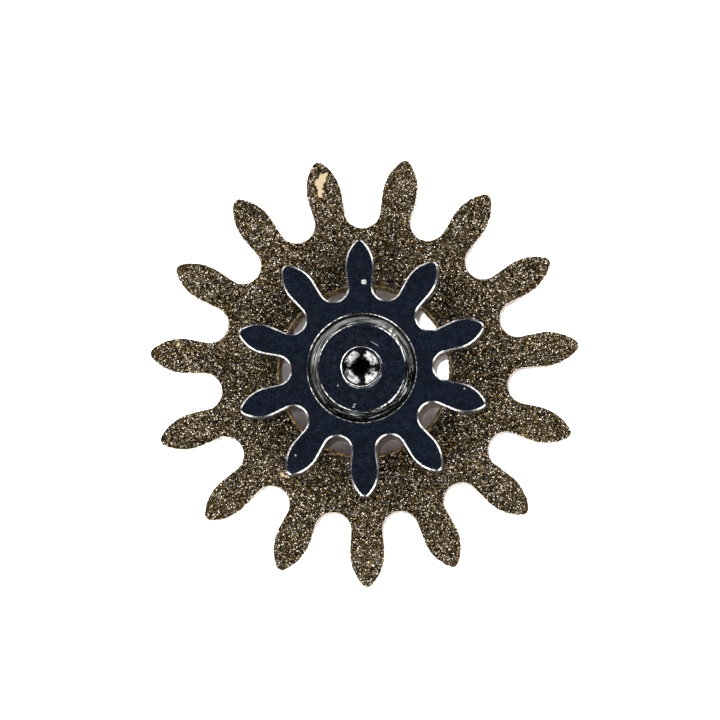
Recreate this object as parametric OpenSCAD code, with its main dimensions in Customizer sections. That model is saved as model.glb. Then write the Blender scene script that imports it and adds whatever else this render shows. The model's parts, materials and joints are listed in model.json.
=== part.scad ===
// Watch intermediate wheel: a brass wheel riveted on a steel pinion.
// Sizes are in millimetres. The axis is +Z and the end of the lower pivot is at z = 0.

/* [Wheel] */
// Number of teeth of the wheel
wheel_teeth = 15; // [14:1:16]
// Outside radius of the wheel
wheel_tip_r = 2.156; // [2.13:0.001:2.18]
// Radius of the rounded point of a tooth
wheel_point_r = 0.068; // [0.05:0.001:0.08]
// Distance from the points inwards to the widest place of a tooth
wheel_head_l = 0.339; // [0.30:0.001:0.36]
// Greatest width of a tooth
wheel_head_w = 0.349; // [0.33:0.001:0.37]
// Distance from the points inwards to the centres of the round gap bottoms
wheel_gap_depth = 0.537; // [0.50:0.001:0.58]
// Least width of a tooth, level with these centres
wheel_stem_w = 0.313; // [0.28:0.001:0.33]
// Thickness of the wheel
wheel_t = 0.30; // [0.20:0.01:0.40]
// Bevel of the upper edge of the hole
hole_bevel = 0.02; // [0.01:0.005:0.03]

/* [Pinion leaves] */
// Number of leaves of the pinion
pinion_leaves = 10; // [9:1:11]
// Outside radius of the pinion
pinion_tip_r = 1.282; // [1.26:0.001:1.30]
// Radius of the rounded point of a leaf
pinion_point_r = 0.057; // [0.045:0.001:0.065]
// Distance from the points inwards to the widest place of a leaf
pinion_head_l = 0.265; // [0.24:0.001:0.28]
// Greatest width of a leaf
pinion_head_w = 0.286; // [0.27:0.002:0.30]
// Distance from the points inwards to the centres of the round gap bottoms
pinion_gap_depth = 0.427; // [0.40:0.001:0.45]
// Least width of a leaf, level with these centres
pinion_stem_w = 0.246; // [0.23:0.002:0.26]
// Height of the leaves above the wheel
leaf_h = 0.44; // [0.30:0.01:0.60]
// Bevel round the upper edges of the leaves
leaf_bevel = 0.016; // [0.01:0.002:0.03]
// Turn of the leaves against the teeth of the wheel, in degrees
leaf_phase = 0.5; // [0:0.1:36]

/* [Mark on one leaf] */
// Distance from the axis to the punched dot
dot_at = 0.857; // [0.80:0.001:1.00]
// Turn of the dot against the middle of its leaf, in degrees
dot_turn = -2.7; // [-4:0.1:4]
// Radius of the punched dot
dot_r = 0.028; // [0.02:0.001:0.04]
// Depth of the punched dot
dot_d = 0.012; // [0.008:0.001:0.02]

/* [Arbor] */
// Radius of the shoulder disc and of the lower shoulder
shoulder_r = 0.44; // [0.38:0.01:0.46]
// Height of the shoulder disc above the faces of the leaves
shoulder_rise = 0.03; // [0.01:0.01:0.10]
// Bevel of the shoulder edges
shoulder_bevel = 0.01; // [0.005:0.001:0.02]
// Outer radius of the turned hollow round the shoulder disc
hollow_r = 0.548; // [0.53:0.001:0.60]
// Bevel of the outer edge of the hollow
hollow_bevel = 0.01; // [0.005:0.001:0.015]
// Depth of the turned hollow
hollow_d = 0.05; // [0.04:0.01:0.10]
// Slope of the outer wall of the hollow, as a width
hollow_slope = 0.018; // [0.01:0.001:0.03]
// Radius of both pivots
pivot_r = 0.20; // [0.16:0.01:0.22]
// Size of the cone at the root of each pivot
pivot_root = 0.012; // [0.008:0.001:0.02]
// Length of the upper pivot with its domed end
upper_pivot_l = 0.25; // [0.20:0.01:0.40]
// Length of the lower pivot with its domed end
lower_pivot_l = 0.18; // [0.16:0.01:0.30]
// Radius of the domed pivot ends
dome_r = 0.30; // [0.26:0.01:0.40]
// Height of the shoulder under the wheel
lower_shoulder_h = 0.08; // [0.05:0.01:0.20]

/* [Seat and rivet] */
// Radius of the turned seat that carries the wheel
seat_r = 0.84; // [0.81:0.005:0.87]
// Clearance between the seat and the hole of the wheel
seat_clearance = 0.002; // [0.001:0.001:0.005]
// Spread of the riveted leaf ends, as wide as it is deep
rivet_flare = 0.05; // [0.03:0.005:0.08]

/* [Hidden] */
$fn = 96;
// Overlap of cuts and of the volumes that are joined into one solid
e = 0.01;
// Inner and outer ends of the tooth stems and radius of the core, as shares of the gap distance
stem_in = 0.68;
stem_out = 0.95;
core_share = 0.75;
// Angle by which the stems of two teeth overlap, in degrees
stem_turn = 2;
wheel_z = lower_pivot_l + lower_shoulder_h;
seat_z = wheel_z + wheel_t;
face_z = seat_z + leaf_h;
disc_z = face_z + shoulder_rise;
hole_r = seat_r + seat_clearance;
dome_h = dome_r - sqrt(dome_r * dome_r - pivot_r * pivot_r);
dot_ball_r = (dot_r * dot_r + dot_d * dot_d) / (2 * dot_d);
wheel_head_at = wheel_tip_r - wheel_head_l;
wheel_head_r = head_radius(wheel_head_l - wheel_point_r, wheel_head_w, wheel_point_r);
wheel_gap_at = wheel_tip_r - wheel_gap_depth;
wheel_gap_r = gap_radius(wheel_teeth, wheel_gap_at, wheel_stem_w);
pinion_head_at = pinion_tip_r - pinion_head_l;
pinion_head_r = head_radius(pinion_head_l - pinion_point_r, pinion_head_w, pinion_point_r);
pinion_gap_at = pinion_tip_r - pinion_gap_depth;
pinion_gap_r = gap_radius(pinion_leaves, pinion_gap_at, pinion_stem_w);
leaf_gap_c = gap_c(pinion_leaves, pinion_gap_at);
leaf_head_c = head_c(pinion_head_at, pinion_head_w, pinion_head_r);
leaf_point_c = [pinion_tip_r - pinion_point_r, 0];
leaf_flank_a = flank_a(leaf_gap_c - leaf_head_c, pinion_gap_r + pinion_head_r);

// Radius of the arcs that close a tooth of width w into a rounded point, whose centre is l further out
function head_radius(l, w, point_r) = (l * l - point_r * point_r + w * w / 4) / (w - 2 * point_r);
// Radius of the round gap bottoms that leave n teeth of width w between them
function gap_radius(n, at, w) = at * sin(180 / n) - w / 2;
// Centre of the round gap beside a tooth that points along +X
function gap_c(n, at) = [at * cos(180 / n), at * sin(180 / n)];
// Centre of the arc that closes the upper side of the same tooth
function head_c(at, w, r) = [at, w / 2 - r];
// Direction of the straight flank that touches both circles, and the normal of that flank
function flank_a(d, s) = atan2(d[1], d[0]) - 180 + asin(s / norm(d));
function flank_n(a) = [-sin(a), cos(a)];
function flip(p) = [p[0], -p[1]];
function turned(p, a) = [p[0] * cos(a) - p[1] * sin(a), p[0] * sin(a) + p[1] * cos(a)];

// Stem of one tooth from the core to the start of its head, reaching into the gap on either side.
// The flank runs from p to q; g is the centre of the gap and a is the direction of the flank.
module tooth_stem(g, p, q, a) {
    side = turned(g, stem_turn);
    near = (p + g) / 2;
    end = [q[0] + q[1] * tan(a), 0];
    polygon([flip(stem_in * side), flip(stem_out * side), flip(near), flip(p), flip(q), end,
             q, p, near, stem_out * side, stem_in * side]);
}

// Field of the two arcs of a head, which ends where they run into the rounded point.
// Its notch follows the lines from the centres of the arcs through the centre of the point.
module head_field(h, point) {
    inner = 2 * h - point;
    outer = 2 * point - h;
    polygon([[inner[0], h[1]], flip(outer), point, outer, [inner[0], -h[1]]]);
}

// Toothed outline: round gaps, straight flanks and heads closed by two arcs and a rounded point
module gear_outline(teeth, tip_r, point_r, gap_at, gap_r, head_at, head_w, head_r) {
    g = gap_c(teeth, gap_at);
    h = head_c(head_at, head_w, head_r);
    a = flank_a(g - h, gap_r + head_r);
    n = flank_n(a);
    point = [tip_r - point_r, 0];
    difference() {
        union() {
            circle(r = gap_at * core_share);
            for (i = [0 : teeth - 1])
                rotate(i * 360 / teeth - 90) {
                    tooth_stem(g, g - gap_r * n, h + head_r * n, a);
                    intersection() {
                        translate(h) circle(r = head_r);
                        translate(flip(h)) circle(r = head_r);
                        head_field(h, point);
                    }
                    translate(point) circle(r = point_r);
                }
        }
        for (i = [0 : teeth - 1])
            rotate((i + 0.5) * 360 / teeth - 90) translate([gap_at, 0]) circle(r = gap_r);
    }
}

module pinion_outline() {
    gear_outline(pinion_leaves, pinion_tip_r, pinion_point_r, pinion_gap_at, pinion_gap_r,
                 pinion_head_at, pinion_head_w, pinion_head_r);
}

// Wedge that bevels one straight flank of a leaf
module flank_wedge(p, length, a, c) {
    translate([p[0], p[1], 0])
        rotate([0, 0, a])
            rotate([90, 0, 90])
                linear_extrude(height = length + 2 * e)
                    polygon([[e, -e], [-c - e, c + e], [e, c + e]]);
}

// Cone slice of a round edge with a bevel
module round_edge(c, r) {
    cylinder(h = c, r1 = r, r2 = r - c);
}

// Bevelled top slice of one leaf
module leaf_edge(c) {
    g = leaf_gap_c;
    h = leaf_head_c;
    n = flank_n(leaf_flank_a);
    p = g - pinion_gap_r * n;
    q = h + pinion_head_r * n;
    difference() {
        linear_extrude(height = c) tooth_stem(g, p, q, leaf_flank_a);
        flank_wedge(p, norm(q - p), leaf_flank_a, c);
        mirror([0, 1, 0]) flank_wedge(p, norm(q - p), leaf_flank_a, c);
    }
    intersection() {
        translate([h[0], h[1], 0]) round_edge(c, pinion_head_r);
        translate([h[0], -h[1], 0]) round_edge(c, pinion_head_r);
        linear_extrude(height = c) head_field(h, leaf_point_c);
    }
    translate([leaf_point_c[0], 0, 0]) round_edge(c, pinion_point_r);
}

// Bevelled top slice of all leaves
module leaf_edges(c) {
    difference() {
        for (i = [0 : pinion_leaves - 1])
            rotate(i * 360 / pinion_leaves - 90) leaf_edge(c);
        for (i = [0 : pinion_leaves - 1])
            rotate((i + 0.5) * 360 / pinion_leaves - 90)
                translate([pinion_gap_at, 0, -e])
                    cylinder(h = c + 2 * e, r1 = pinion_gap_r - e, r2 = pinion_gap_r + c + e);
    }
}

// Leaves above the wheel, their core, and their turned and riveted ends in its hole
module leaves() {
    translate([0, 0, wheel_z]) cylinder(h = face_z - wheel_z, r = pinion_gap_at * core_share);
    translate([0, 0, seat_z]) linear_extrude(height = leaf_h - leaf_bevel) pinion_outline();
    translate([0, 0, face_z - leaf_bevel]) leaf_edges(leaf_bevel);
    translate([0, 0, wheel_z])
        intersection() {
            linear_extrude(height = wheel_t) pinion_outline();
            union() {
                cylinder(h = wheel_t, r = seat_r);
                cylinder(h = rivet_flare, r1 = seat_r + rivet_flare, r2 = seat_r);
            }
        }
}

// Pivot that stands on z = 0 and reaches below it, with a small cone at its root and a domed end
module pivot(l) {
    translate([0, 0, -e]) cylinder(h = pivot_root + e, r1 = pivot_r + pivot_root + e, r2 = pivot_r);
    cylinder(h = l - dome_h, r = pivot_r);
    translate([0, 0, l - dome_h])
        intersection() {
            cylinder(h = dome_h, r = pivot_r);
            translate([0, 0, dome_h - dome_r]) sphere(r = dome_r);
        }
}

// Shoulder that stands on z = 0 and reaches below it, with a bevelled end
module shoulder(l) {
    translate([0, 0, -e]) cylinder(h = l - shoulder_bevel + e, r = shoulder_r);
    translate([0, 0, l - shoulder_bevel]) round_edge(shoulder_bevel, shoulder_r);
}

// Ring cut into the face round the shoulder disc
module hollow() {
    wall_r = hollow_r - hollow_bevel;
    rotate_extrude()
        polygon([[0, -hollow_d], [wall_r - hollow_slope, -hollow_d], [wall_r, -hollow_bevel],
                 [hollow_r + e, e], [0, e]]);
}

// Brass wheel with its hole, bevelled above and countersunk below for the rivet
module wheel() {
    color([0.50, 0.40, 0.24])
    translate([0, 0, wheel_z])
    difference() {
        linear_extrude(height = wheel_t)
            gear_outline(wheel_teeth, wheel_tip_r, wheel_point_r, wheel_gap_at, wheel_gap_r,
                         wheel_head_at, wheel_head_w, wheel_head_r);
        translate([0, 0, -e]) cylinder(h = wheel_t + 2 * e, r = hole_r);
        translate([0, 0, wheel_t - hole_bevel])
            cylinder(h = hole_bevel + e, r1 = hole_r, r2 = hole_r + hole_bevel + e);
        translate([0, 0, -e])
            cylinder(h = rivet_flare + e, r1 = hole_r + rivet_flare + e, r2 = hole_r);
    }
}

// Steel pinion turned in one piece with its arbor
module pinion() {
    color([0.42, 0.44, 0.48]) {
        difference() {
            rotate(leaf_phase) leaves();
            translate([0, 0, face_z]) hollow();
            rotate(90 + leaf_phase + dot_turn)
                translate([dot_at, 0, face_z - dot_d + dot_ball_r])
                    sphere(r = dot_ball_r);
        }
        translate([0, 0, face_z - hollow_d]) shoulder(hollow_d + shoulder_rise);
        translate([0, 0, disc_z]) pivot(upper_pivot_l);
        translate([0, 0, wheel_z]) mirror([0, 0, 1]) shoulder(lower_shoulder_h);
        translate([0, 0, lower_pivot_l]) mirror([0, 0, 1]) pivot(lower_pivot_l);
    }
}

wheel();
pinion();
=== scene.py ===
"""Looks of a watch intermediate wheel: a granular brass wheel on a polished steel pinion."""

import json
import math

import bpy
import numpy as np
from mathutils import Matrix, Vector
from mathutils.geometry import delaunay_2d_cdt

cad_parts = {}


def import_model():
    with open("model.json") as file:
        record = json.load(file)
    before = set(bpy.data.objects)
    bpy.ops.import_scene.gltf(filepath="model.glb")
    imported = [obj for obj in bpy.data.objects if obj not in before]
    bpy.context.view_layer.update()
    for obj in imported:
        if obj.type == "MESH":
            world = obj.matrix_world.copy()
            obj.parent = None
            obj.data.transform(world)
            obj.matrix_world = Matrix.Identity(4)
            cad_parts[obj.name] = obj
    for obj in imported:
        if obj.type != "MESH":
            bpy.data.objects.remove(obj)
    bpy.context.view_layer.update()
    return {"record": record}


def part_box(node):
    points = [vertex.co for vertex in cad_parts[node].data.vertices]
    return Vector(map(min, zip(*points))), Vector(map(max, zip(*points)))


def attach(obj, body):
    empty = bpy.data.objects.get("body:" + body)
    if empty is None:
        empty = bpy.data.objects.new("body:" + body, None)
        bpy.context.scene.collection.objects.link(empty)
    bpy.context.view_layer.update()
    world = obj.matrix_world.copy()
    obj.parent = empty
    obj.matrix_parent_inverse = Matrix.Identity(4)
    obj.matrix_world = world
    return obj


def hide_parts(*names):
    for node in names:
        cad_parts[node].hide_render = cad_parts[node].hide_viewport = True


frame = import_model()

# Sizes in millimetres, as in the solids
MM = 0.001
WHEEL = dict(
    teeth=15, tip_r=2.156, point_r=0.068,
    head_l=0.339, head_w=0.349, gap_depth=0.537, stem_w=0.313,
)
LEAVES = dict(
    teeth=10, tip_r=1.282, point_r=0.057,
    head_l=0.265, head_w=0.286, gap_depth=0.427, stem_w=0.246,
)
LEAF_PHASE = math.radians(0.5)
LEAF_BEVEL = 0.016
LEAF_H = 0.44
SEAT_R = 0.84
HOLE_R = 0.842
HOLE_BEVEL = 0.02
RIVET_FLARE = 0.05
SHOULDER_R = 0.44
SHOULDER_BEVEL = 0.01
SHOULDER_RISE = 0.03
LOWER_SHOULDER_H = 0.08
HOLLOW_R = 0.548
HOLLOW_BEVEL = 0.01
HOLLOW_D = 0.05
HOLLOW_SLOPE = 0.018
HOLLOW_WALL_R = HOLLOW_R - HOLLOW_BEVEL
HOLLOW_FLOOR_R = HOLLOW_WALL_R - HOLLOW_SLOPE
PIVOT_R = frame["record"]["mounts"][0]["dims"]["r_mm"]
PIVOT_ROOT = 0.012
DOME_R = 0.30
DOME_EDGE = 0.012
DOT_AT = 0.857
DOT_ANGLE = math.pi / 2 + LEAF_PHASE - math.radians(2.7)
DOT_C = (DOT_AT * math.cos(DOT_ANGLE), DOT_AT * math.sin(DOT_ANGLE))
DOT_R = 0.028
DOT_D = 0.012

# Levels along the axis, from the frame
WHEEL_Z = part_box("wheel")[0].z / MM
SEAT_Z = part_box("wheel")[1].z / MM
TOP_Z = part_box("pinion")[1].z / MM
FACE_Z = SEAT_Z + LEAF_H
DISC_Z = FACE_Z + SHOULDER_RISE
HOLLOW_Z = FACE_Z - HOLLOW_D
LOWER_PIVOT_L = WHEEL_Z - LOWER_SHOULDER_H

# Bare brass on the wheel: the outline of a worn patch, and spots as x, y and radius. The first three spots,
# by the tip of a leaf, are a painted reflection of the leaf; the last is worn.
BARE_PATCH = np.array([
    (-0.413, 1.982), (-0.343, 1.997), (-0.353, 1.961), (-0.370, 1.921), (-0.385, 1.871), (-0.406, 1.812),
    (-0.401, 1.752), (-0.437, 1.758), (-0.435, 1.822), (-0.465, 1.883), (-0.470, 1.923), (-0.423, 1.952),
])
BARE_AND_REFLECTION_SPOTS = (
    (-0.832, -1.012, 0.022),
    (-0.868, -0.962, 0.014),
    (-0.795, -1.035, 0.013),
    (-1.860, 0.305, 0.018),
)
BARE_RELIEF = 0.15

# Nicks in the polish as x, y and radius, and the ends of a scratch on the shoulder disc
NICKS = (
    (-0.087, -0.388, 0.015),
    (-0.076, -0.364, 0.013),
    (-0.238, -0.173, 0.012),
    (-0.672, -0.856, 0.014),
    (1.017, -0.224, 0.012),
)
SCRATCH = ((0.073, 0.275), (0.188, 0.204))

# Worn edges, as inset and depth in shares of the bevel, and for the disc also the share of its burrs
LEAF_WEAR = ((0, 1), (0.04, 0.60), (0.38, 0.36), (0.92, 0.05), (1, 0))
DISC_WEAR = ((0, 1, 1), (0.25, 0.42, 0.7), (1, 0, 0))
TOOTH_WEAR = 0.003

# Burrs on the edge of the disc, as middle and half of a stretch in degrees and height
BURRS = ((50, 28, 0.022), (315, 18, 0.006))
BURR_DROP = 0.6

# Ridges in the hollow
RIDGES = 16
RIDGE_H = 0.0042
GROOVE_H = 0.001
RIDGE_WAVE = 0.0015

# Fineness of the meshes, grains and facets
LEAF_STEP = 0.012
ROUND = 240
DOT_ROUND = 24
WALL_ROWS = 8
GRAIN = 0.014
BACK_GRAIN = 0.03
JITTER = 0.35
RELIEF = 0.009
FACET = 0.0102
RNG = np.random.default_rng(15)


# Outlines

def arc(centre, radius, start, end, count):
    """Points on an arc, with both ends."""
    angle = np.linspace(start, end, count + 1)
    return np.c_[centre[0] + radius * np.cos(angle), centre[1] + radius * np.sin(angle)]


def half_tooth(teeth, tip_r, point_r, head_l, head_w, gap_depth, stem_w, inset, step):
    """Upper half of a tooth along +X, from its rounded point to the middle of the gap beside it."""
    half, quarter = math.pi / teeth, math.pi / 2
    head_at, gap_at = tip_r - head_l, tip_r - gap_depth
    gap_r = gap_at * math.sin(half) - stem_w / 2
    reach = head_l - point_r
    head_r = (reach**2 - point_r**2 + head_w**2 / 4) / (head_w - 2 * point_r)
    gap = np.array([gap_at * math.cos(half), gap_at * math.sin(half)])
    head = np.array([head_at, head_w / 2 - head_r])
    apart = gap - head
    flank = math.atan2(apart[1], apart[0]) - math.pi + math.asin((gap_r + head_r) / np.hypot(*apart))
    turn = math.atan2(-head[1], reach)

    def count(length):
        return max(3, math.ceil(length / step))

    def bow(centre, radius, change, start, end):
        return arc(centre, radius + change, start, end, count(radius * abs(end - start)))

    point = bow((tip_r - point_r, 0), point_r, -inset, 0, turn)
    side = bow(head, head_r, -inset, turn, quarter + flank)
    valley = bow(gap, gap_r, inset, flank - quarter, half - math.pi)
    share = np.linspace(0, 1, count(np.hypot(*(side[-1] - valley[0]))) + 1)[1:-1, None]
    return np.vstack([point, side[1:], side[-1] * (1 - share) + valley[0] * share, valley])


def gear_loop(spec, phase=0.0, inset=0.0, step=LEAF_STEP, limit=None):
    """Closed outline of a toothed piece, counter-clockwise, with one tooth along -Y plus the phase.
    With a limit, the heads of the teeth are turned off to that radius."""
    upper = half_tooth(**spec, inset=inset, step=step)
    lower = upper[::-1] * (1, -1)
    tooth = np.vstack([lower[:-1], upper[:-1]])
    if limit:
        beyond = np.flatnonzero(np.hypot(*tooth.T) > limit)
        ends = tooth[[beyond[0] - 1, beyond[-1] + 1]]
        ends = np.arctan2(ends[:, 1], ends[:, 0])
        tooth[beyond] = arc((0, 0), limit, ends[0], ends[1], len(beyond) + 1)[1:-1]
    loops = []
    for i in range(spec["teeth"]):
        angle = phase - math.pi / 2 + i * 2 * math.pi / spec["teeth"]
        c, s = math.cos(angle), math.sin(angle)
        loops.append(tooth @ np.array([[c, s], [-s, c]]))
    return np.vstack(loops)


def circle(radius, count=ROUND, centre=(0, 0)):
    return arc(centre, radius, 0, 2 * math.pi, count)[:-1]


def outward(loop):
    """Unit normals of a closed counter-clockwise outline."""
    along = np.roll(loop, -1, axis=0) - np.roll(loop, 1, axis=0)
    normal = np.c_[along[:, 1], -along[:, 0]]
    return normal / np.hypot(normal[:, 0], normal[:, 1])[:, None]


def inside(spots, loop, margin, hole):
    """Which points lie within the outline by a margin and outside the hole."""
    near = np.full(len(spots), np.inf)
    crossings = np.zeros(len(spots), int)
    ends = np.roll(loop, -1, axis=0)
    for (x0, y0), (x1, y1) in zip(loop, ends):
        dx, dy = x1 - x0, y1 - y0
        t = np.clip(((spots[:, 0] - x0) * dx + (spots[:, 1] - y0) * dy) / (dx * dx + dy * dy), 0, 1)
        near = np.minimum(near, np.hypot(spots[:, 0] - x0 - t * dx, spots[:, 1] - y0 - t * dy))
        if dy:
            across = (spots[:, 1] >= min(y0, y1)) & (spots[:, 1] < max(y0, y1))
            crossings += across & (spots[:, 0] < x0 + (spots[:, 1] - y0) * dx / dy)
    return (crossings % 2 == 1) & (near > margin) & (np.hypot(*spots.T) > hole)


# Meshes

class Shell:
    """Vertices and faces of one closed piece, gathered ring by ring."""

    def __init__(self):
        self.points = []
        self.faces = []

    def ring(self, flat, z):
        first = len(self.points)
        heights = np.broadcast_to(z, len(flat))
        self.points += [(x, y, h) for (x, y), h in zip(flat, heights)]
        return list(range(first, len(self.points)))

    def bridge(self, a, b):
        n = len(a)
        self.faces += [(a[i], a[(i + 1) % n], b[(i + 1) % n], b[i]) for i in range(n)]

    def cap(self, a, z):
        """Closes a small ring with a middle point."""
        middle = np.mean([self.points[i] for i in a], axis=0)
        self.points.append((middle[0], middle[1], z))
        tip = len(self.points) - 1
        n = len(a)
        self.faces += [(a[i], a[(i + 1) % n], tip) for i in range(n)]

    def stack(self, first, outlines):
        """Adds one ring for each outline and height, joins them in order and returns the last ring."""
        last = first
        for flat, z in outlines:
            ring = self.ring(flat, z)
            self.bridge(last, ring)
            last = ring
        return last

    def turned(self, first, profile, centre=(0, 0)):
        """Adds one ring for each radius and height of a turned profile and returns the last ring."""
        return self.stack(first, [(circle(radius, len(first), centre), z) for radius, z in profile])

    def fill(self, outer, holes, inner=(), up=True):
        """Triangles between an outer ring and round holes, through the given inner points.
        Each hole is a ring with its centre and radius."""
        rings = [outer] + [ring for ring, _, _ in holes]
        names = [i for ring in rings for i in ring] + list(inner)
        place = [Vector(self.points[i][:2]) for i in names]
        edges = []
        start = 0
        for ring in rings:
            n = len(ring)
            edges += [(start + i, start + (i + 1) % n) for i in range(n)]
            start += n
        flat, _, faces, origin, _, _ = delaunay_2d_cdt(place, edges, [], 1, 1e-9)
        for face in faces:
            middle = sum((flat[i] for i in face), Vector((0, 0))) / 3
            if any((middle - Vector(centre)).length < radius - 1e-5 for _, centre, radius in holes):
                continue
            corners = [names[origin[i][0]] for i in face]
            self.faces.append(tuple(corners if up else corners[::-1]))

    def piece(self, name, material, slot, node, smooth):
        mesh = bpy.data.meshes.new(name)
        mesh.from_pydata([Vector(p) * MM for p in self.points], [], self.faces)
        mesh.materials.append(material)
        mesh.update()
        if smooth:
            mesh.shade_smooth()
            mesh.set_sharp_from_angle(angle=smooth)
        made = bpy.data.objects.new(name, mesh)
        bpy.context.collection.objects.link(made)
        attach(made, "root")
        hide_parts(node)
        return made


def fillet(radius, z, size, steps=4):
    """Hollow fillet from a flat at height z up to a pivot of the given radius."""
    turn = np.linspace(1.5 * math.pi, math.pi, steps + 1)
    return [(radius + size * (1 + math.cos(t)), z + size * (1 + math.sin(t))) for t in turn]


def dome_profile(edge_steps=6, steps=12):
    """Radius and depth under the top of a domed pivot end, from its rounded edge to near its middle."""
    edge_at = PIVOT_R - DOME_EDGE
    edge_low = DOME_R - math.sqrt((DOME_R - DOME_EDGE)**2 - edge_at**2)
    meet = math.asin(edge_at / (DOME_R - DOME_EDGE))
    edge = np.linspace(math.pi / 2, meet, edge_steps + 1)
    dome = np.linspace(meet, 0, steps + 1)[1:-1]
    return ([(edge_at + DOME_EDGE * math.sin(a), edge_low - DOME_EDGE * math.cos(a)) for a in edge]
            + [(DOME_R * math.sin(a), DOME_R * (1 - math.cos(a))) for a in dome])


def lower_arbor(shell):
    """Lower pivot and shoulder, from the lowest point outwards. Returns the edge under the wheel."""
    dome = dome_profile()[::-1]
    first = shell.ring(circle(dome[0][0]), dome[0][1])
    shell.cap(first[::-1], 0)
    profile = dome[1:] + [
        (PIVOT_R, LOWER_PIVOT_L - PIVOT_ROOT),
        (PIVOT_R + PIVOT_ROOT, LOWER_PIVOT_L),
        (SHOULDER_R - SHOULDER_BEVEL, LOWER_PIVOT_L),
        (SHOULDER_R, LOWER_PIVOT_L + SHOULDER_BEVEL),
        (SHOULDER_R, WHEEL_Z),
    ]
    return shell.turned(first, profile)


def leaf_walls(shell, shoulder):
    """Riveted ends, seat, walls and worn bevel of the leaves. Returns the edge of the face."""
    rivet = shell.ring(gear_loop(LEAVES, LEAF_PHASE, limit=SEAT_R + RIVET_FLARE), WHEEL_Z)
    shell.fill(rivet, [(shoulder, (0, 0), SHOULDER_R)], up=False)
    seat = gear_loop(LEAVES, LEAF_PHASE, limit=SEAT_R)
    outlines = [
        (seat, WHEEL_Z + RIVET_FLARE),
        (seat, SEAT_Z),
        (gear_loop(LEAVES, LEAF_PHASE), SEAT_Z),
    ]
    for inset, depth in LEAF_WEAR:
        outline = gear_loop(LEAVES, LEAF_PHASE, inset * LEAF_BEVEL)
        outlines.append((outline, FACE_Z - depth * LEAF_BEVEL))
    return shell.stack(rivet, outlines)


def leaf_face(shell, edge):
    """Flat face with the punched dot. Returns the outer edge of the turned hollow."""
    hollow = shell.ring(circle(HOLLOW_R), FACE_Z)
    dot = shell.ring(circle(DOT_R, DOT_ROUND, DOT_C), FACE_Z)
    shell.fill(edge, [(hollow, (0, 0), HOLLOW_R), (dot, DOT_C, DOT_R)])
    pit = [(DOT_R * r, FACE_Z - DOT_D * (1 - r * r)) for r in (0.85, 0.6, 0.3)]
    shell.cap(shell.turned(dot, pit, DOT_C), FACE_Z - DOT_D)
    return hollow


def burrs(swing):
    """How far burrs stand out of the edge of the shoulder disc, round two stretches of it."""
    rough = RNG.normal(0, 1, len(swing))
    rough = np.abs(rough + np.roll(rough, 1) + np.roll(rough, -1))
    size = np.zeros(len(swing))
    for middle, half, height in BURRS:
        off = (swing - math.radians(middle) + math.pi) % (2 * math.pi) - math.pi
        size += height * np.clip(1 - off**2 / math.radians(half)**2, 0, 1)
    return size * rough


def hollow_floor(swing):
    """Rings of the ridges that the turning left, each of its own height and a little wavy."""
    rings = []
    for i, radius in enumerate(np.linspace(HOLLOW_FLOOR_R, SHOULDER_R, RIDGES + 1)[1:-1]):
        wave = sum(
            RNG.uniform(0, RIDGE_WAVE) * np.sin(k * swing + RNG.uniform(0, 6.3))
            for k in (1, 2, 3, 5, 8)
        )
        rise = RIDGE_H if i % 2 else GROOVE_H
        rings.append((circle(radius), HOLLOW_Z + rise + RNG.uniform(-0.001, 0.003) + wave))
    return rings


def upper_arbor(shell, hollow):
    """Hollow with turning ridges, shoulder disc and upper pivot."""
    swing = np.linspace(0, 2 * math.pi, ROUND, endpoint=False)
    last = shell.turned(hollow, [
        (HOLLOW_R - 0.6 * HOLLOW_BEVEL, FACE_Z - 0.35 * HOLLOW_BEVEL),
        (HOLLOW_WALL_R, FACE_Z - HOLLOW_BEVEL),
        (HOLLOW_FLOOR_R, HOLLOW_Z),
    ])
    last = shell.stack(last, hollow_floor(swing))
    last = shell.turned(last, [(SHOULDER_R, HOLLOW_Z)])
    burr = burrs(swing)
    edge = []
    for inset, depth, share in DISC_WEAR:
        flat = circle(SHOULDER_R - inset * SHOULDER_BEVEL) * (1 + share * burr[:, None] / SHOULDER_R)
        edge.append((flat, DISC_Z - depth * SHOULDER_BEVEL - BURR_DROP * share * burr))
    last = shell.stack(last, edge)
    profile = fillet(PIVOT_R, DISC_Z, PIVOT_ROOT, 8) + [(r, TOP_Z - z) for r, z in dome_profile()]
    shell.cap(shell.turned(last, profile), TOP_Z)


def pinion_shell():
    shell = Shell()
    shoulder = lower_arbor(shell)
    hollow = leaf_face(shell, leaf_walls(shell, shoulder))
    upper_arbor(shell, hollow)
    return shell


def grain_spots(loop, hole, spacing):
    """Jittered close-packed points on a face of the wheel."""
    reach = np.abs(loop).max()
    columns = np.arange(-reach, reach, spacing)
    rows = np.arange(-reach, reach, spacing * math.sqrt(3) / 2)
    x, y = np.meshgrid(columns, rows)
    x[::2] += spacing / 2
    spots = np.c_[x.ravel(), y.ravel()]
    spots += RNG.uniform(-JITTER, JITTER, spots.shape) * spacing
    margin = spacing * 0.6
    return spots[inside(spots, loop, margin, hole + margin)]


def bare_or_reflection_places(spots):
    """Which points lie in the worn places of the upper face, or in the painted reflection by a leaf tip."""
    worn = inside(spots, BARE_PATCH, 0, 0)
    for x, y, radius in BARE_AND_REFLECTION_SPOTS:
        worn |= np.hypot(spots[:, 0] - x, spots[:, 1] - y) < radius
    return worn


def mark_bare_and_reflection(made):
    """Writes the worn places of the upper face, and the painted reflection by a leaf tip, to the mesh, for
    the material.
    """
    points = np.array([v.co / MM for v in made.data.vertices])
    worn = bare_or_reflection_places(points[:, :2]) & (points[:, 2] > SEAT_Z - 2 * RELIEF)
    layer = made.data.attributes.new("bare", "FLOAT", "POINT")
    layer.data.foreach_set("value", worn.astype(np.float32))


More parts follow.
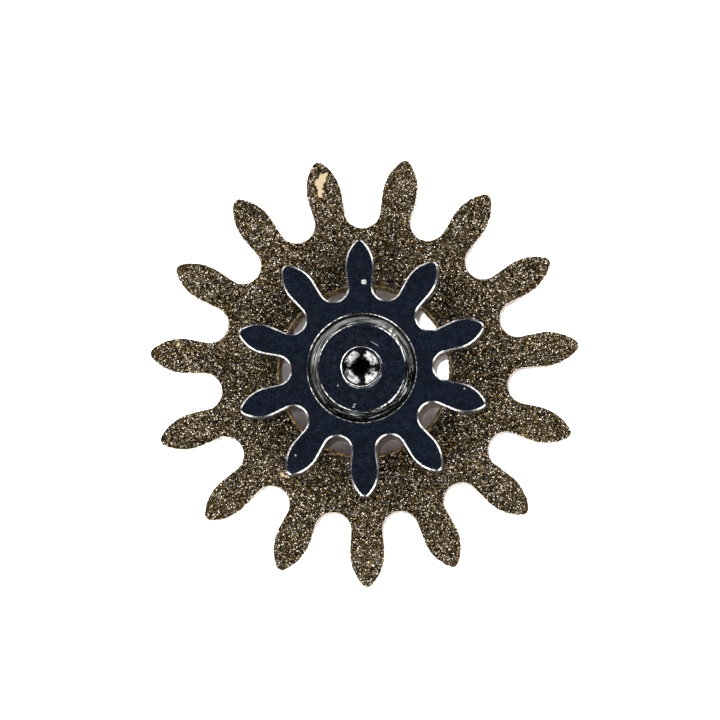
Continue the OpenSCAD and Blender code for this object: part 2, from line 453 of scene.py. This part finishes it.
def tooth_walls(shell, loop):
    """Rough walls of the teeth, with worn edges. Returns the lowest and the highest ring."""
    normal = outward(loop)
    count = len(loop)
    rings = []
    for i in range(WALL_ROWS + 1):
        edge = i in (0, WALL_ROWS)
        share = i / WALL_ROWS
        shift = RNG.uniform(-0.005, 0.003, count) - (TOOTH_WEAR if edge else 0)
        if edge:
            stray = (1 - 2 * share) * RNG.uniform(0.001, 0.008, count)
        else:
            stray = RNG.uniform(-0.008, 0.008, count)
        z = WHEEL_Z + (SEAT_Z - WHEEL_Z) * share
        rings.append(shell.ring(loop + normal * shift[:, None], z + stray))
    for a, b in zip(rings, rings[1:]):
        shell.bridge(a, b)
    return rings[0], rings[-1]


def wheel_shell():
    shell = Shell()
    loop = gear_loop(WHEEL, step=1.3 * GRAIN)
    low, high = tooth_walls(shell, loop)
    # Wall of the hole, from the bevel down to the countersink
    top_r, low_r = HOLE_R + HOLE_BEVEL, HOLE_R + RIVET_FLARE
    top = shell.ring(circle(top_r, 2 * ROUND), SEAT_Z)
    bottom = shell.turned(top, [
        (HOLE_R, SEAT_Z - HOLE_BEVEL),
        (HOLE_R, WHEEL_Z + RIVET_FLARE),
        (low_r, WHEEL_Z),
    ])
    # Granular faces
    spots = grain_spots(loop, top_r, GRAIN)
    depth = RNG.uniform(0, RELIEF, len(spots)) * np.where(bare_or_reflection_places(spots), BARE_RELIEF, 1)
    grains = shell.ring(spots, SEAT_Z - depth)
    shell.fill(high, [(top, (0, 0), top_r)], grains)
    spots = grain_spots(loop, low_r, BACK_GRAIN)
    grains = shell.ring(spots, WHEEL_Z + RNG.uniform(0, RELIEF, len(spots)))
    shell.fill(low, [(bottom, (0, 0), low_r)], grains, False)
    return shell


# Materials

# Drops the height of a place, and the mean of a colour texture
FLAT = (1, 1, 0)
MIDDLE = (0.5, 0.5, 0.5)

# Colours
PLAIN_HUE = (0.85, 0.85, 0.85)
DUST = (0.016, 0.0165, 0.0150, 1)
# Bare brass; the same colour paints the reflection by a leaf tip
BARE_AND_REFLECTION = (1.0, 0.80, 0.52, 1)
MARK = (0.6, 0.6, 0.6, 1)
NICK = (0.66, 0.66, 0.64, 1)
SHADE = (0.03, 0.03, 0.03, 1)
HOLLOW_TINT = (1.0, 0.985, 0.93)

# Roughness
GRAIN_ROUGH = 0.22
BARE_ROUGH = 0.35
POLISH = 0.06
DOME_ROUGH = 0.02
BEVEL_ROUGH = 0.17
TURNED_ROUGH = -0.07
HOLLOW_ROUGH = 0.40
WALL_ROUGH = 0.17
NICK_ROUGH = 0.5
PAPER_ROUGH = 0.9

# Sizes of patches and lines in millimetres, and the side towards which the hollow is painted lighter, as
# painted light
SMEAR = 0.045
EDGE_WEAR = 0.03
POLISH_LINE = 0.0015
HOLLOW_PAINTED_LIGHT_TO = math.radians(106)


class Nodes:
    """Short way to add linked nodes to a material or to the world."""

    def __init__(self, tree):
        self.tree = tree

    def add(self, kind, inputs=None, **settings):
        made = self.tree.nodes.new("ShaderNode" + kind)
        for name, value in settings.items():
            setattr(made, name, value)
        for name, value in (inputs or {}).items():
            if isinstance(value, bpy.types.NodeSocket):
                self.tree.links.new(value, made.inputs[name])
            else:
                made.inputs[name].default_value = value
        return made

    def math(self, operation, *values):
        return self.add("Math", dict(enumerate(values)), operation=operation).outputs[0]

    def vector(self, operation, *values):
        made = self.add("VectorMath", dict(enumerate(values)), operation=operation)
        return made.outputs["Value" if operation in ("LENGTH", "DISTANCE", "DOT_PRODUCT") else "Vector"]

    def step(self, value, low, high, start=0.0, end=1.0):
        ends = {"Value": value, "From Min": low, "From Max": high, "To Min": start, "To Max": end}
        return self.add("MapRange", ends, interpolation_type="SMOOTHSTEP").outputs["Result"]

    def step_mm(self, value, low, high, start=0.0, end=1.0):
        """The same for a length, with its limits in millimetres."""
        return self.step(value, low * MM, high * MM, start, end)

    def ramp(self, value, stops):
        made = self.add("ValToRGB", {"Fac": value})
        elements = made.color_ramp.elements
        while len(elements) < len(stops):
            elements.new(0.5)
        for element, (position, colour) in zip(elements, stops):
            element.position = position
            element.color = (*colour, 1)
        return made.outputs["Color"]

    def blend(self, factor, a, b):
        colours = {0: factor, 6: a, 7: b}
        return self.add("Mix", colours, data_type="RGBA").outputs[2]

    def noise(self, place, size, detail=2.0):
        """Noise with patches of about the given size in millimetres."""
        inputs = {"Vector": place, "Scale": 1 / (size * MM), "Detail": detail}
        return self.add("TexNoise", inputs).outputs["Fac"]


def material(name):
    made = bpy.data.materials.new(name)
    made.use_nodes = True
    shader = made.node_tree.nodes["Principled BSDF"]
    nodes = Nodes(made.node_tree)

    def wire(**inputs):
        for socket, value in inputs.items():
            socket = shader.inputs[socket.replace("_", " ")]
            if isinstance(value, bpy.types.NodeSocket):
                made.node_tree.links.new(value, socket)
            else:
                socket.default_value = value

    return made, nodes, wire


def from_axis(nodes, place):
    """Distance from the axis, in metres."""
    return nodes.vector("LENGTH", nodes.vector("MULTIPLY", place, FLAT))


def brass():
    """Frosted brass: small facets turned every way, dark with bright grains, dusty in patches, and bare
    where it is worn and at the hole.
    The bare colour also paints a reflection by one leaf tip, the edge of the hole is partly a painted
    highlight, and painted light lifts the tone towards the pinion."""
    made, nodes, wire = material("granular_brass")
    place = nodes.add("TexCoord").outputs["Object"]
    radius = from_axis(nodes, place)
    # The worn places also hold a painted reflection by one leaf tip
    worn = nodes.add("Attribute", attribute_name="bare").outputs["Fac"]
    edge = nodes.step_mm(radius, HOLE_R + 1.6 * HOLE_BEVEL, HOLE_R + 1.1 * HOLE_BEVEL)
    cell = nodes.add("TexVoronoi", {"Vector": place, "Scale": 1 / (FACET * MM)}).outputs["Color"]
    tilt = nodes.vector("MULTIPLY", nodes.vector("SUBTRACT", cell, MIDDLE), (1.5, 1.5, 0.4))
    tilt = nodes.vector("MULTIPLY", tilt, nodes.math("MULTIPLY_ADD", worn, -0.7, 1.0))
    face = nodes.add("NewGeometry").outputs["Normal"]
    # Each facet has a tone and a hue of its own, and the brightest ones are plain
    golden, _, bright = nodes.add("SeparateXYZ", {0: cell}).outputs
    tone = nodes.ramp(bright, (
        (0.0, (0.0125, 0.0042, 0.0002)),
        (0.45, (0.0520, 0.0285, 0.0045)),
        (0.80, (0.232, 0.172, 0.088)),
        (1.0, (0.80, 0.73, 0.645)),
    ))
    hue = nodes.ramp(golden, (
        (0.0, (0.62, 0.86, 0.99)),
        (0.5, PLAIN_HUE),
        (1.0, (1.0, 0.80, 0.60)),
    ))
    hue = nodes.blend(nodes.step(bright, 0.5, 0.9), hue, (*PLAIN_HUE, 1))
    # Painted light: the tone rises a little towards the pinion, to make up for the shade of the leaves
    painted_lift = nodes.step_mm(radius, 1.0, 1.9, 1.08, 1.0)
    tone = nodes.vector("MULTIPLY", nodes.vector("MULTIPLY", tone, hue), painted_lift)
    # Patches of dust on the darker facets
    dust = nodes.step(nodes.noise(place, 0.10), 0.46, 0.62, 0.0, 0.60)
    dust = nodes.math("MULTIPLY", dust, nodes.step(bright, 0.75, 0.45))
    tone = nodes.blend(dust, tone, DUST)
    # Bare edge of the hole, its bright gold partly a painted highlight
    tone = nodes.blend(edge, tone, nodes.ramp(nodes.noise(place, 0.03), (
        (0.40, (0.46, 0.31, 0.15)),
        (0.60, (1.0, 0.73, 0.40)),
    )))
    bare = nodes.math("MAXIMUM", worn, edge)
    wire(
        Base_Color=nodes.blend(worn, tone, BARE_AND_REFLECTION),
        Metallic=1.0,
        Roughness=nodes.math("MULTIPLY_ADD", bare, BARE_ROUGH, GRAIN_ROUGH),
        Normal=nodes.vector("NORMALIZE", nodes.vector("ADD", face, tilt)),
    )
    return made


def band(nodes, radius, inner, outer, soft=0.003):
    """Mask of the ring between two radii."""
    rise = nodes.step_mm(radius, inner - soft, inner + soft)
    return nodes.math("MULTIPLY", rise, nodes.step_mm(radius, outer + soft, outer - soft))


def direction(nodes, place):
    """Unit vector from the axis to a place."""
    return nodes.vector("NORMALIZE", nodes.vector("MULTIPLY", place, FLAT))


def turning_marks(nodes, place, radius, size, length):
    """Noise drawn out round the axis: marks about as wide as the size and, as an angle, as long
    as given."""
    stretch = size / length * MM
    round_axis = nodes.vector("MULTIPLY", direction(nodes, place), (stretch, stretch, 0))
    across = nodes.add("CombineXYZ", {2: radius}).outputs[0]
    return nodes.noise(nodes.vector("ADD", round_axis, across), size)


def scratch(nodes, place):
    """Mask of the scratch on the shoulder disc, which fades out at both ends."""
    start, end = (Vector((*spot, 0)) for spot in SCRATCH)
    along = (end - start).normalized()
    length = (end - start).length
    from_start = nodes.vector("SUBTRACT", place, start * MM)
    run = nodes.vector("DOT_PRODUCT", from_start, along)
    aside = nodes.math("ABSOLUTE", nodes.vector("DOT_PRODUCT", from_start, (-along.y, along.x, 0)))
    fade_in = nodes.step_mm(run, 0, 0.3 * length)
    fade_out = nodes.step_mm(run, length, 0.7 * length)
    ends = nodes.math("MULTIPLY", fade_in, fade_out)
    return nodes.math("MULTIPLY", ends, nodes.step_mm(aside, 0.006, 0.002))


def nick_mask(nodes, place):
    """Mask of the scratch, the nicks and the punched dot."""
    flat = nodes.vector("MULTIPLY", place, FLAT)
    mask = scratch(nodes, place)
    for x, y, size in ((*DOT_C, 0.9 * DOT_R),) + NICKS:
        away = nodes.vector("DISTANCE", flat, (x * MM, y * MM, 0))
        mask = nodes.math("MAXIMUM", mask, nodes.step_mm(away, size, 0.6 * size))
    return mask


def faint_marks(nodes, place, radius, above):
    """Mask of turning marks round the pivot and of patches of scuffs."""
    marks = nodes.step(turning_marks(nodes, place, radius, 0.008, 0.5), 0.58, 0.72, 0.0, 0.45)
    marks = nodes.math("MULTIPLY", marks, band(nodes, radius, 0.24, 0.33, 0.02))
    scuffs = nodes.step(nodes.noise(place, 0.012), 0.64, 0.72, 0.0, 0.30)
    scuffs = nodes.math("MULTIPLY", scuffs, nodes.step(nodes.noise(place, 0.2), 0.48, 0.62))
    return nodes.math("MAXIMUM", marks, nodes.math("MULTIPLY", scuffs, above))


def mottle(nodes, place):
    """Tone of the polished faces, in coarse and fine patches."""
    coarse = nodes.ramp(nodes.noise(place, 0.06, 4.0), (
        (0.28, (0.32, 0.35, 0.41)),
        (0.52, (0.52, 0.55, 0.60)),
        (0.75, (0.82, 0.83, 0.85)),
    ))
    fine = nodes.step(nodes.noise(place, 0.02), 0.3, 0.7, 0.62, 1.38)
    return nodes.vector("MULTIPLY", coarse, fine)


def hollow_tone_and_painted_light(nodes, place, radius):
    """Tone of the hollow, with painted light: lighter grey on one side and dark on the other, with turning
    marks and specks painted bright as glints, and painted shade in the corner at the foot of the shoulder.
    """
    painted_light_side = (math.cos(HOLLOW_PAINTED_LIGHT_TO), math.sin(HOLLOW_PAINTED_LIGHT_TO), 0)
    side = nodes.vector("DOT_PRODUCT", direction(nodes, place), painted_light_side)
    streaks = turning_marks(nodes, place, radius, 0.010, 0.35)
    # Painted light: lighter grey on one side, with turning marks painted bright as glints
    grey = nodes.step(side, -0.60, 0.80, 0.03, 0.72)
    grey = nodes.math("ADD", grey, nodes.step(streaks, 0.57, 0.65, 0.0, 1.0))
    grey = nodes.math("MULTIPLY", grey, nodes.step(streaks, 0.40, 0.48, 0.06, 1.0))
    # Specks painted bright as glints, strongest on the darker side
    specks = nodes.step(nodes.noise(place, 0.016), 0.60, 0.68, 0.0, 0.45)
    specks = nodes.math("MULTIPLY", specks, nodes.step(side, -0.2, 0.7, 1.0, 0.25))
    grey = nodes.math("ADD", grey, specks)
    # Painted shade in the corner at the foot of the shoulder
    painted_corner_shade = nodes.step_mm(radius, SHOULDER_R + 0.006, SHOULDER_R + 0.020, 0.1, 1.0)
    return nodes.vector("MULTIPLY", nodes.math("MULTIPLY", grey, painted_corner_shade), HOLLOW_TINT)


def dome_smears_and_painted_reflection(nodes, place, radius):
    """Tone of the domed ends: deep and smeared, with painted shade that makes the middle darkest, as a dark
    reflection, and a painted highlight at the rim.
    """
    smears = nodes.ramp(nodes.noise(place, SMEAR), (
        (0.36, (0.09, 0.09, 0.09)),
        (0.52, (0.32, 0.31, 0.30)),
    ))
    # Painted dark reflection: darkest in the middle
    smears = nodes.vector("MULTIPLY", smears, nodes.step_mm(radius, 0.05, 0.16, 0.06, 1.0))
    # Painted highlight at the rim
    return nodes.vector("MULTIPLY", smears, nodes.step_mm(radius, 0.187, 0.192, 1.0, 2.4))


def dome_ripple(nodes, place, radius):
    """Uneven polish of the domed ends, to be added to the normal."""
    inputs = {"Vector": place, "Scale": 1 / (SMEAR * MM), "Detail": 2.0}
    ripple = nodes.vector("SUBTRACT", nodes.add("TexNoise", inputs).outputs["Color"], MIDDLE)
    return nodes.vector("MULTIPLY", ripple, nodes.step_mm(radius, 0.175, 0.155, 0.0, 0.40))


def bevel_tone(nodes, place, radius, turned):
    """Tone of the bevels and fillets: worn, broken along the turned edges and darker at the disc."""
    worn = nodes.ramp(nodes.noise(place, EDGE_WEAR), (
        (0.35, (0.27, 0.26, 0.25)),
        (0.60, (0.66, 0.65, 0.62)),
    ))
    at_disc = nodes.step_mm(radius, SHOULDER_R + 0.06, SHOULDER_R + 0.05, 1.0, 0.65)
    breaks = nodes.step(nodes.noise(place, EDGE_WEAR), 0.42, 0.54, -0.65, 0.10)
    breaks = nodes.math("MULTIPLY_ADD", turned, breaks, 1.0)
    return nodes.vector("MULTIPLY", worn, nodes.math("MULTIPLY", at_disc, breaks))


def polishing_lines(nodes, place, steep):
    """Fine lines along the axis, which spread what the walls mirror sideways, to be added to the normal."""
    upwards = nodes.vector("MULTIPLY", place, (1, 1, 0.02))
    inputs = {"Vector": upwards, "Scale": 1 / (POLISH_LINE * MM)}
    lines = nodes.vector("SUBTRACT", nodes.add("TexVoronoi", inputs).outputs["Color"], MIDDLE)
    return nodes.vector("MULTIPLY", nodes.vector("MULTIPLY", lines, FLAT), steep)


def steel():
    """Polished steel: mottled faces with scuffs, nicks and a scratch, worn bevels, walls with polishing
    lines, a streaked hollow with painted light that leaves it darker on one side and painted shade in its
    corner and on its wall, smeared domes with a painted dark reflection in the middle and a painted
    highlight at the rim, and a rough punched dot."""
    made, nodes, wire = material("polished_steel")
    place = nodes.add("TexCoord").outputs["Object"]
    face = nodes.add("NewGeometry").outputs["Normal"]
    radius = from_axis(nodes, place)
    height = nodes.add("SeparateXYZ", {0: place}).outputs[2]
    upright = nodes.add("SeparateXYZ", {0: face}).outputs[2]
    # Masks of the places that differ from the flat faces
    above = nodes.step_mm(height, SEAT_Z + 0.02, SEAT_Z + 0.04)
    hollow = nodes.math("MULTIPLY", band(nodes, radius, SHOULDER_R + 0.004, HOLLOW_FLOOR_R), above)
    wall = nodes.math("MULTIPLY", band(nodes, radius, HOLLOW_FLOOR_R, HOLLOW_WALL_R), above)
    on_pivot = nodes.step_mm(radius, PIVOT_R + 0.001, PIVOT_R - 0.001)
    turned = nodes.step_mm(radius, HOLLOW_R + 0.03, HOLLOW_R + 0.02)
    steep = nodes.step(nodes.math("ABSOLUTE", upright), 0.35, 0.15)
    bevel = nodes.math("MULTIPLY", nodes.step(upright, 0.94, 0.88), nodes.step(upright, 0.30, 0.45))
    for mask in (on_pivot, hollow, wall):
        bevel = nodes.math("MULTIPLY", bevel, nodes.math("SUBTRACT", 1.0, mask))
    marks = faint_marks(nodes, place, radius, above)
    nicks = nodes.math("MULTIPLY", nick_mask(nodes, place), above)
    # Tone, from the faces to the marks on them; the walls are darker
    tone = nodes.blend(marks, mottle(nodes, place), MARK)
    tone = nodes.blend(hollow, tone, hollow_tone_and_painted_light(nodes, place, radius))
    # Painted shade: the steep wall of the hollow is painted near black
    tone = nodes.blend(wall, tone, SHADE)
    tone = nodes.blend(on_pivot, tone, dome_smears_and_painted_reflection(nodes, place, radius))
    tone = nodes.blend(bevel, tone, bevel_tone(nodes, place, radius, turned))
    tone = nodes.vector("MULTIPLY", tone, nodes.math("MULTIPLY_ADD", steep, -0.45, 1.0))
    # The bevels, the hollow and the walls are less polished than the faces and the domed ends
    rough = nodes.math("MULTIPLY", bevel, nodes.math("MULTIPLY_ADD", turned, TURNED_ROUGH, BEVEL_ROUGH))
    rough = nodes.math("MULTIPLY_ADD", on_pivot, DOME_ROUGH, nodes.math("ADD", rough, POLISH))
    rough = nodes.math("MAXIMUM", rough, nodes.math("MULTIPLY", hollow, HOLLOW_ROUGH))
    rough = nodes.math("MAXIMUM", rough, nodes.math("MULTIPLY", steep, WALL_ROUGH))
    normal = nodes.vector("ADD", face, polishing_lines(nodes, place, steep))
    normal = nodes.vector("ADD", normal, dome_ripple(nodes, place, radius))
    wire(
        Base_Color=nodes.blend(nicks, tone, NICK),
        Metallic=1.0,
        Roughness=nodes.math("MULTIPLY_ADD", nodes.math("MAXIMUM", nicks, marks), NICK_ROUGH, rough),
        Normal=nodes.vector("NORMALIZE", normal),
    )
    return made


def paper():
    made, nodes, wire = material("pale_paper")
    place = nodes.add("TexCoord").outputs["Object"]
    tone = nodes.ramp(nodes.noise(place, 3.0), ((0.3, (0.89, 0.83, 0.81)), (0.7, (0.91, 0.85, 0.83))))
    wire(Base_Color=tone, Roughness=PAPER_ROUGH)
    return made


# Stage, light and camera

# Camera: how far and to which side it leans, and the place of the wheel in the picture
LEAN = math.radians(5.5)
LEAN_TO = math.atan2(-0.81, 0.58)
ROLL = math.radians(0.83)
LENS = 400
SENSOR = 36
VIEW = 720
PIXEL = 0.010
WHEEL_PIXEL = (365.25, 372.5)
WHEEL_C = Vector((0, 0, (WHEEL_Z + SEAT_Z) / 2))

# Floor, and the side on which it is raised, with sizes in metres
RAISED_TO = math.radians(18)
FLOOR_HALF = 0.12
FLOOR_LIGHTS = 4
FLOOR_LIGHT_LEAN = math.radians(25)
FLOOR_LIGHT_SIZE = 0.03
FLOOR_LIGHT_FAR = 0.06
FLOOR_LIGHT_POWER = 0.055

# Lights through the gaps between the leaves: lean, azimuth, distance and size in metres
GAP_LIGHT_LEAN = math.radians(3.4)
GAP_LIGHT_FROM = math.radians(-48)
GAP_LIGHT_FAR = 0.03
GAP_LIGHT_SIZE = 0.0003
GAP_AT = 0.78

WHITE = (1, 1, 1, 1)
CEILING = (0.020, 0.0257, 0.0405, 1)
PANEL_STRENGTH = 4.0


def leaning(angle, azimuth=LEAN_TO):
    """Unit vector that leans from the axis by an angle, towards the side of the camera or another
    azimuth."""
    out = math.sin(angle)
    return Vector((out * math.cos(azimuth), out * math.sin(azimuth), math.cos(angle)))


def facing(normal, place):
    """Placement at a point in metres, with +Z along the normal."""
    return Matrix.Translation(place) @ normal.to_track_quat("Z", "Y").to_matrix().to_4x4()


def floor():
    """The wheel rests on its lower pivot and on the points of its teeth, so the floor leans against
    its axis."""
    slope = math.atan2(WHEEL_Z, WHEEL["tip_r"])
    normal = leaning(slope, RAISED_TO)
    corners = [(x * FLOOR_HALF, y * FLOOR_HALF, 0) for x, y in ((-1, -1), (1, -1), (1, 1), (-1, 1))]
    mesh = bpy.data.meshes.new("floor")
    mesh.from_pydata(corners, [], [(0, 1, 2, 3)])
    mesh.materials.append(paper())
    made = bpy.data.objects.new("floor", mesh)
    made.matrix_world = facing(normal, -normal * DOME_R * (1 - math.cos(slope)) * MM)
    bpy.context.collection.objects.link(made)


def place_light(data, out, place):
    """Adds a light that shines against a direction and that the polished metal does not mirror."""
    made = bpy.data.objects.new(data.name, data)
    made.matrix_world = facing(out, place)
    made.visible_glossy = False
    made.visible_camera = False
    bpy.context.collection.objects.link(made)


def floor_lights():
    """Soft lights for the floor, on the diagonals."""
    for i in range(FLOOR_LIGHTS):
        data = bpy.data.lights.new(f"floor_light_{i}", "AREA")
        data.shape = "SQUARE"
        data.size = FLOOR_LIGHT_SIZE
        data.energy = FLOOR_LIGHT_POWER
        out = leaning(FLOOR_LIGHT_LEAN, math.radians(45 + 90 * i))
        place_light(data, out, out * FLOOR_LIGHT_FAR)


def gap_light(name, azimuth, cone, blend, energy):
    """A narrow light that falls through some of the gaps between the leaves onto the floor."""
    data = bpy.data.lights.new(name, "SPOT")
    data.spot_size = cone
    data.spot_blend = blend
    data.shadow_soft_size = GAP_LIGHT_SIZE
    data.energy = energy
    out = leaning(GAP_LIGHT_LEAN, GAP_LIGHT_FROM)
    target = Vector((math.cos(azimuth), math.sin(azimuth), 0)) * GAP_AT + WHEEL_C
    place_light(data, out, target * MM + out * GAP_LIGHT_FAR)


def world():
    """Four soft panels on the diagonals, a dark ceiling and a white backdrop for the camera."""
    made = bpy.data.worlds.new("studio")
    bpy.context.scene.world = made
    made.use_nodes = True
    made.node_tree.nodes.clear()
    nodes = Nodes(made.node_tree)
    place = nodes.add("TexCoord").outputs["Generated"]
    x, y, z = nodes.add("SeparateXYZ", {0: place}).outputs
    flat = nodes.math("MAXIMUM", nodes.math("SUBTRACT", 1.0, nodes.math("MULTIPLY", z, z)), 1e-4)
    diagonal = nodes.math("DIVIDE", nodes.math("ABSOLUTE", nodes.math("MULTIPLY", x, y)), flat)
    height = nodes.math("MULTIPLY", nodes.step(z, 0.85, 0.68), nodes.step(z, 0.28, 0.46))
    panel = nodes.math("MULTIPLY", nodes.step(diagonal, 0.18, 0.38), height)
    strength = nodes.math("MULTIPLY", panel, PANEL_STRENGTH)
    ceiling = nodes.add("Background", {"Color": CEILING})
    panels = nodes.add("Background", {"Strength": strength, "Color": WHITE})
    light = nodes.add("AddShader", {0: ceiling.outputs[0], 1: panels.outputs[0]})
    backdrop = nodes.add("Background", {"Color": WHITE})
    seen = nodes.add("LightPath").outputs["Is Camera Ray"]
    choose = nodes.add("MixShader", {0: seen, 1: light.outputs[0], 2: backdrop.outputs[0]})
    nodes.add("OutputWorld", {"Surface": choose.outputs[0]})


def camera():
    data = bpy.data.cameras.new("camera")
    data.lens = LENS
    data.sensor_width = SENSOR
    data.clip_start = 0.001
    data.clip_end = 1.0
    made = bpy.data.objects.new("camera", data)
    bpy.context.collection.objects.link(made)
    back = leaning(LEAN)
    right = Vector((math.sin(ROLL), math.cos(ROLL), 0)).cross(back).normalized()
    up = back.cross(right)
    aside = (WHEEL_PIXEL[0] - VIEW / 2) * PIXEL
    below = (WHEEL_PIXEL[1] - VIEW / 2) * PIXEL
    target = WHEEL_C - right * aside + up * below
    distance = VIEW * PIXEL * LENS / SENSOR
    turn = Matrix((right, up, back)).transposed().to_4x4()
    made.matrix_world = Matrix.Translation((target + back * distance) * MM) @ turn
    bpy.context.scene.camera = made


camera()
world()
floor_lights()
gap_light("gap_light", RAISED_TO, cone=math.radians(1.45), blend=0.1, energy=0.11)
gap_light("low_gap_light", math.radians(165), cone=math.radians(2.8), blend=0.5, energy=0.0052)
floor()
pinion_shell().piece("pinion_polished", steel(), "polished_steel", "pinion", math.radians(18))
mark_bare_and_reflection(wheel_shell().piece("wheel_granular", brass(), "frosted_brass", "wheel", None))
bpy.context.scene.view_settings.view_transform = "Standard"
